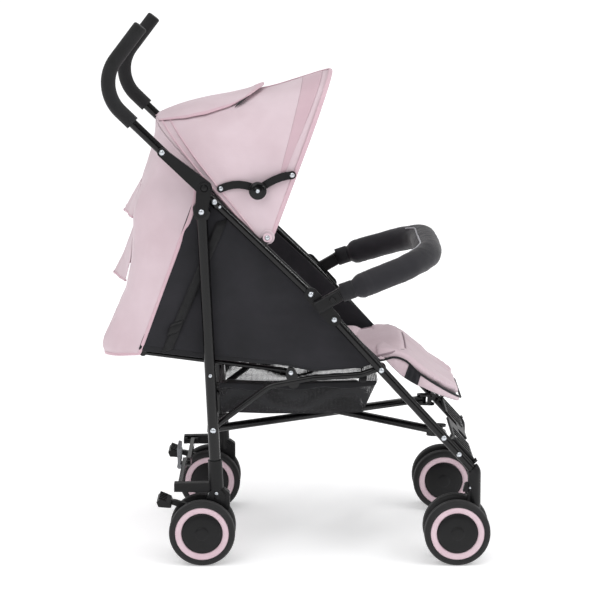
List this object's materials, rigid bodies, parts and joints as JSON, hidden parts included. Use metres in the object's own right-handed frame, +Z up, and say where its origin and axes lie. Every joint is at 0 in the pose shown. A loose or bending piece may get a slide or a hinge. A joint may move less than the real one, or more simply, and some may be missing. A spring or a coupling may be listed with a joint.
{
  "type": "baby stroller",
  "caption": "Umbrella-folding baby stroller with pink canopy and reclined seat, black tube frame, bumper bar, mesh basket, twin caster wheels and curved foam handles.",
  "frame": {"origin": "on the ground under the middle of the wheel base, halfway between the sides", "axes": "+X forward, +Y to the child's left, +Z up"},
  "size_m": [0.755, 0.488, 1.0569],
  "materials": {
    "tyre": "matte",
    "foam": "matte foam",
    "pink_fabric": "woven",
    "black_fabric": "woven",
    "mesh_fabric": "open mesh",
    "grey_plastic": "moulded",
    "black_tube": "gloss powder coat",
    "bow_strip": "moulded",
    "black_plastic": "moulded satin"
  },
  "bodies": {
    "right_frame": {"right_front_tube": "black_tube", "right_grip": "foam", "right_caster_socket": "black_plastic", "right_bumper_socket": "black_plastic", "canopy_fabric": "pink_fabric", "canopy_flap": "pink_fabric", "canopy_rear_bow": "bow_strip", "rear_curtain": "pink_fabric", "seat_sling": "black_fabric", "seat_pad": "pink_fabric", "harness": "black_fabric", "basket": "mesh_fabric"},
    "left_frame": {"left_front_tube": "black_tube", "left_grip": "foam", "left_caster_socket": "black_plastic", "left_bumper_socket": "black_plastic"},
    "leg_rest": {"leg_rest": "pink_fabric"},
    "spreader_pedal": {"spreader_pedal": "grey_plastic"},
    "right_lever": {"right_lever": "black_plastic"},
    "right_leg": {"right_rear_leg": "black_tube", "right_rear_hub": "black_plastic"},
    "right_rear_outer_wheel": {"right_rear_outer_wheel": "tyre"},
    "right_rear_inner_wheel": {"right_rear_inner_wheel": "tyre"},
    "right_front_outer_wheel": {"right_front_outer_wheel": "tyre"},
    "right_front_inner_wheel": {"right_front_inner_wheel": "tyre"},
    "right_brake": {"right_brake_pedal": "black_plastic"},
    "right_rail": {"right_side_rail": "black_tube"},
    "right_recline": {"right_recline_arm": "black_tube"},
    "right_caster": {"right_caster_fork": "black_plastic"},
    "right_yoke": {"right_yoke": "black_tube"},
    "right_x_bar": {"right_x_bar": "black_tube"},
    "right_spreader": {"right_spreader_link": "black_tube"},
    "right_footrest": {"right_footrest": "black_plastic"},
    "right_blade": {"right_canopy_blade": "bow_strip", "canopy_front_arch": "bow_strip"},
    "right_rear_stay": {"right_rear_stay": "black_plastic"},
    "right_front_stay": {"right_front_stay": "black_plastic"},
    "right_bumper": {"right_bumper_arm": "black_plastic", "bumper_pad": "black_fabric"},
    "right_button": {"right_bumper_button": "black_plastic"},
    "left_lever": {"left_lever": "black_plastic"},
    "left_leg": {"left_rear_leg": "black_tube", "left_rear_hub": "black_plastic"},
    "left_rear_outer_wheel": {"left_rear_outer_wheel": "tyre"},
    "left_rear_inner_wheel": {"left_rear_inner_wheel": "tyre"},
    "left_front_outer_wheel": {"left_front_outer_wheel": "tyre"},
    "left_front_inner_wheel": {"left_front_inner_wheel": "tyre"},
    "left_brake": {"left_brake_pedal": "black_plastic"},
    "left_rail": {"left_side_rail": "black_tube"},
    "left_recline": {"left_recline_arm": "black_tube"},
    "left_caster": {"left_caster_fork": "black_plastic"},
    "left_yoke": {"left_yoke": "black_tube"},
    "left_x_bar": {"left_x_bar": "black_tube"},
    "left_spreader": {"left_spreader_link": "black_tube"},
    "left_footrest": {"left_footrest": "black_plastic"},
    "left_blade": {"left_canopy_blade": "bow_strip"},
    "left_rear_stay": {"left_rear_stay": "black_plastic"},
    "left_front_stay": {"left_front_stay": "black_plastic"},
    "left_bumper": {"left_bumper_arm": "black_plastic"},
    "left_button": {"left_bumper_button": "black_plastic"}
  },
  "joints": [
    {"name": "fold", "type": "hinge", "parent": "right_frame", "child": "right_lever", "pos_m": [-0.321, -0.2, 0.811], "axis": [0, 1, 0], "range_deg": [0, 150], "deforming": ["canopy_fabric", "canopy_flap", "canopy_front_arch", "canopy_rear_bow", "rear_curtain", "seat_sling", "seat_pad", "leg_rest", "harness", "basket", "bumper_pad"]},
    {"name": "right_leg_turn", "type": "hinge", "parent": "right_lever", "child": "right_leg", "pos_m": [-0.247, -0.2, 0.697], "axis": [0, -1, 0], "range_deg": [0, 176.82]},
    {"name": "right_rail_turn", "type": "hinge", "parent": "right_frame", "child": "right_rail", "pos_m": [0.1, -0.181, 0.3853], "axis": [0, 1, 0], "range_deg": [0, 38.66]},
    {"name": "right_yoke_turn", "type": "hinge", "parent": "right_frame", "child": "right_yoke", "pos_m": [0.223, -0.18, 0.25], "axis": [0, 1, 0], "range_deg": [0, 26.53]},
    {"name": "right_x_bar_turn", "type": "hinge", "parent": "right_yoke", "child": "right_x_bar", "pos_m": [0.20101, -0.168, 0.25078], "axis": [0.0355, 0, 0.9994], "range_deg": [0, 13.58]},
    {"name": "right_spreader_turn", "type": "hinge", "parent": "right_leg", "child": "right_spreader", "pos_m": [-0.29, -0.18, 0.15], "axis": [1, 0, 0], "range_deg": [0, 46.01]},
    {"name": "right_footrest_turn", "type": "hinge", "parent": "right_frame", "child": "right_footrest", "pos_m": [0.2304, -0.183, 0.25673], "axis": [0.6727, 0, -0.7399], "range_deg": [0, 45.61]},
    {"name": "right_brake", "type": "hinge", "parent": "right_leg", "child": "right_brake", "pos_m": [-0.266, -0.2, 0.106], "axis": [0, -1, 0], "range_deg": [0, 13]},
    {"name": "right_rear_outer_wheel", "type": "hinge", "parent": "right_leg", "child": "right_rear_outer_wheel", "pos_m": [-0.25, -0.227, 0.065], "axis": [0, 1, 0], "continuous": true},
    {"name": "right_rear_inner_wheel", "type": "hinge", "parent": "right_leg", "child": "right_rear_inner_wheel", "pos_m": [-0.25, -0.173, 0.065], "axis": [0, 1, 0], "continuous": true},
    {"name": "right_caster_swivel", "type": "hinge", "parent": "right_frame", "child": "right_caster", "pos_m": [0.284, -0.2, 0.12], "axis": [0, 0, 1], "continuous": true},
    {"name": "right_front_outer_wheel", "type": "hinge", "parent": "right_caster", "child": "right_front_outer_wheel", "pos_m": [0.25, -0.227, 0.065], "axis": [0, 1, 0], "continuous": true},
    {"name": "right_front_inner_wheel", "type": "hinge", "parent": "right_caster", "child": "right_front_inner_wheel", "pos_m": [0.25, -0.173, 0.065], "axis": [0, 1, 0], "continuous": true},
    {"name": "canopy", "type": "hinge", "parent": "right_frame", "child": "right_blade", "pos_m": [-0.121, -0.189, 0.645], "axis": [0, -1, 0], "range_deg": [0, 45], "deforming": ["canopy_fabric", "canopy_flap"]},
    {"name": "right_rear_stay_turn", "type": "hinge", "parent": "right_frame", "child": "right_rear_stay", "pos_m": [-0.21032, -0.197, 0.73945], "axis": [0, 1, 0], "range_deg": [0, 36.92]},
    {"name": "right_front_stay_turn", "type": "hinge", "parent": "right_blade", "child": "right_front_stay", "pos_m": [-0.07314, -0.199, 0.76587], "axis": [0, -1, 0], "range_deg": [0, 35.71]},
    {"name": "recline", "type": "hinge", "parent": "right_rail", "child": "right_recline", "pos_m": [-0.076, -0.168, 0.376], "axis": [0, 1, 0], "range_deg": [0, 45], "deforming": ["seat_sling", "seat_pad", "rear_curtain", "harness"]},
    {"name": "bumper_slide", "type": "slide", "parent": "right_frame", "child": "right_bumper", "axis": [0.866, 0, 0.5], "range_m": [0, 0.06]},
    {"name": "right_button_press", "type": "slide", "parent": "right_frame", "child": "right_button", "axis": [0, 1, 0], "range_m": [0, 0.002]},
    {"name": "left_frame_close", "type": "slide", "parent": "right_frame", "child": "left_frame", "axis": [0, -1, 0], "range_m": [0, 0.10995], "deforming": ["canopy_fabric", "canopy_flap", "canopy_front_arch", "canopy_rear_bow", "rear_curtain", "seat_sling", "seat_pad", "leg_rest", "harness", "basket", "bumper_pad"]},
    {"name": "left_lever_turn", "type": "hinge", "parent": "left_frame", "child": "left_lever", "pos_m": [-0.321, 0.2, 0.811], "axis": [0, 1, 0], "range_deg": [0, 150]},
    {"name": "left_leg_turn", "type": "hinge", "parent": "left_lever", "child": "left_leg", "pos_m": [-0.247, 0.2, 0.697], "axis": [0, -1, 0], "range_deg": [0, 176.82]},
    {"name": "left_rail_turn", "type": "hinge", "parent": "left_frame", "child": "left_rail", "pos_m": [0.1, 0.181, 0.3853], "axis": [0, 1, 0], "range_deg": [0, 38.66]},
    {"name": "left_yoke_turn", "type": "hinge", "parent": "left_frame", "child": "left_yoke", "pos_m": [0.223, 0.18, 0.25], "axis": [0, 1, 0], "range_deg": [0, 26.53]},
    {"name": "left_x_bar_turn", "type": "hinge", "parent": "left_yoke", "child": "left_x_bar", "pos_m": [0.20101, 0.168, 0.25078], "axis": [-0.0355, 0, -0.9994], "range_deg": [0, 13.58]},
    {"name": "left_spreader_turn", "type": "hinge", "parent": "left_leg", "child": "left_spreader", "pos_m": [-0.29, 0.18, 0.15], "axis": [-1, 0, 0], "range_deg": [0, 46.01]},
    {"name": "left_footrest_turn", "type": "hinge", "parent": "left_frame", "child": "left_footrest", "pos_m": [0.2304, 0.183, 0.25673], "axis": [-0.6727, 0, 0.7399], "range_deg": [0, 45.61]},
    {"name": "left_brake", "type": "hinge", "parent": "left_leg", "child": "left_brake", "pos_m": [-0.266, 0.2, 0.106], "axis": [0, -1, 0], "range_deg": [0, 13]},
    {"name": "left_rear_outer_wheel", "type": "hinge", "parent": "left_leg", "child": "left_rear_outer_wheel", "pos_m": [-0.25, 0.227, 0.065], "axis": [0, 1, 0], "continuous": true},
    {"name": "left_rear_inner_wheel", "type": "hinge", "parent": "left_leg", "child": "left_rear_inner_wheel", "pos_m": [-0.25, 0.173, 0.065], "axis": [0, 1, 0], "continuous": true},
    {"name": "left_caster_swivel", "type": "hinge", "parent": "left_frame", "child": "left_caster", "pos_m": [0.284, 0.2, 0.12], "axis": [0, 0, 1], "continuous": true},
    {"name": "left_front_outer_wheel", "type": "hinge", "parent": "left_caster", "child": "left_front_outer_wheel", "pos_m": [0.25, 0.227, 0.065], "axis": [0, 1, 0], "continuous": true},
    {"name": "left_front_inner_wheel", "type": "hinge", "parent": "left_caster", "child": "left_front_inner_wheel", "pos_m": [0.25, 0.173, 0.065], "axis": [0, 1, 0], "continuous": true},
    {"name": "left_blade_turn", "type": "hinge", "parent": "left_frame", "child": "left_blade", "pos_m": [-0.121, 0.189, 0.645], "axis": [0, -1, 0], "range_deg": [0, 45]},
    {"name": "left_rear_stay_turn", "type": "hinge", "parent": "left_frame", "child": "left_rear_stay", "pos_m": [-0.21032, 0.197, 0.73945], "axis": [0, 1, 0], "range_deg": [0, 36.92]},
    {"name": "left_front_stay_turn", "type": "hinge", "parent": "left_blade", "child": "left_front_stay", "pos_m": [-0.07314, 0.199, 0.76587], "axis": [0, -1, 0], "range_deg": [0, 35.71]},
    {"name": "left_recline_turn", "type": "hinge", "parent": "left_rail", "child": "left_recline", "pos_m": [-0.076, 0.168, 0.376], "axis": [0, 1, 0], "range_deg": [0, 45]},
    {"name": "left_bumper_slide", "type": "slide", "parent": "left_frame", "child": "left_bumper", "axis": [0.866, 0, 0.5], "range_m": [0, 0.06]},
    {"name": "left_button_press", "type": "slide", "parent": "left_frame", "child": "left_button", "axis": [0, -1, 0], "range_m": [0, 0.002]},
    {"name": "spreader_pedal", "type": "hinge", "parent": "right_spreader", "child": "spreader_pedal", "pos_m": [-0.3033, -0.02, 0.15], "axis": [0, -1, 0], "range_deg": [0, 35]},
    {"name": "leg_rest_lift", "type": "hinge", "parent": "right_frame", "child": "leg_rest", "pos_m": [0.089, 0, 0.414], "axis": [0, -1, 0], "range_deg": [0, 40], "deforming": ["leg_rest"]}
  ],
  "couplings": [
    {"joint": "right_leg_turn", "follows": "fold", "ratio": 1.1788},
    {"joint": "right_rail_turn", "follows": "fold", "ratio": 0.25772},
    {"joint": "right_yoke_turn", "follows": "fold", "ratio": 0.17686},
    {"joint": "right_x_bar_turn", "follows": "fold", "ratio": 0.09056},
    {"joint": "right_spreader_turn", "follows": "fold", "ratio": 0.3067},
    {"joint": "right_footrest_turn", "follows": "fold", "ratio": 0.30403},
    {"joint": "right_rear_stay_turn", "follows": "canopy", "ratio": 0.82035},
    {"joint": "right_front_stay_turn", "follows": "canopy", "ratio": 0.79347},
    {"joint": "left_frame_close", "follows": "fold", "m_per_rad": 0.041997},
    {"joint": "left_lever_turn", "follows": "fold", "ratio": 1},
    {"joint": "left_leg_turn", "follows": "fold", "ratio": 1.1788},
    {"joint": "left_rail_turn", "follows": "fold", "ratio": 0.25772},
    {"joint": "left_yoke_turn", "follows": "fold", "ratio": 0.17686},
    {"joint": "left_x_bar_turn", "follows": "fold", "ratio": 0.09056},
    {"joint": "left_spreader_turn", "follows": "fold", "ratio": 0.3067},
    {"joint": "left_footrest_turn", "follows": "fold", "ratio": 0.30403},
    {"joint": "left_blade_turn", "follows": "canopy", "ratio": 1},
    {"joint": "left_rear_stay_turn", "follows": "canopy", "ratio": 0.82035},
    {"joint": "left_front_stay_turn", "follows": "canopy", "ratio": 0.79347},
    {"joint": "left_recline_turn", "follows": "recline", "ratio": 1},
    {"joint": "left_bumper_slide", "follows": "bumper_slide", "ratio": 1}
  ]
}
